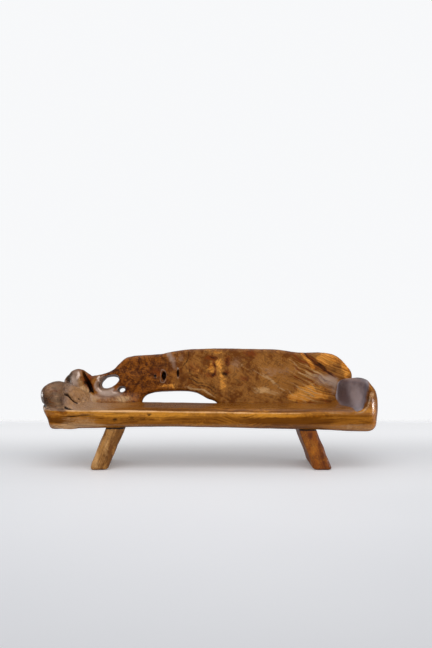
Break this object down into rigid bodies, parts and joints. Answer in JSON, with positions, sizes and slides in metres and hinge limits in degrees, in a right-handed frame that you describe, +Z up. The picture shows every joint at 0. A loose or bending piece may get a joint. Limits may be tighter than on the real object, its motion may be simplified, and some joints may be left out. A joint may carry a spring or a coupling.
{
  "type": "sculptural bench",
  "caption": "Sculptural hardwood bench hewn from a trunk, with carved arms, a leaning burl back pierced by root hollows, and splayed slab legs.",
  "frame": {"origin": "on the floor under the middle of the bench's bounding box", "axes": "+X to the right of someone facing the bench, +Y towards its back, +Z up"},
  "size_m": [2.3289, 0.5685, 0.8173],
  "materials": {
    "trunk_wood": "gloss varnish over amber-brown lengthwise grain",
    "burl_wood": "gloss varnish over dark burl with orange sapwood streaks",
    "leg_wood": "satin varnish over hewn grain",
    "joint_wood": "bare dark hardwood"
  },
  "bodies": {
    "root": {"back_peg_1": "joint_wood", "back_peg_2": "joint_wood", "back_peg_3": "joint_wood", "back_peg_4": "joint_wood", "back_peg_5": "joint_wood", "back_peg_6": "joint_wood", "back_slab": "burl_wood", "back_tenon_1": "joint_wood", "back_tenon_2": "joint_wood", "back_tenon_3": "joint_wood", "back_tenon_4": "joint_wood", "back_tenon_5": "joint_wood", "back_tenon_6": "joint_wood", "left_front_wedge": "joint_wood", "left_inner_arm_dowel": "joint_wood", "left_leg": "leg_wood", "left_outer_arm_dowel": "joint_wood", "left_rear_wedge": "joint_wood", "right_front_wedge": "joint_wood", "right_inner_arm_dowel": "joint_wood", "right_leg": "leg_wood", "right_outer_arm_dowel": "joint_wood", "right_rear_wedge": "joint_wood", "seat_peg_1": "joint_wood", "seat_peg_2": "joint_wood", "seat_peg_3": "joint_wood", "seat_peg_4": "joint_wood", "seat_peg_5": "joint_wood", "seat_peg_6": "joint_wood", "seat_trunk": "trunk_wood"}
  },
  "joints": []
}
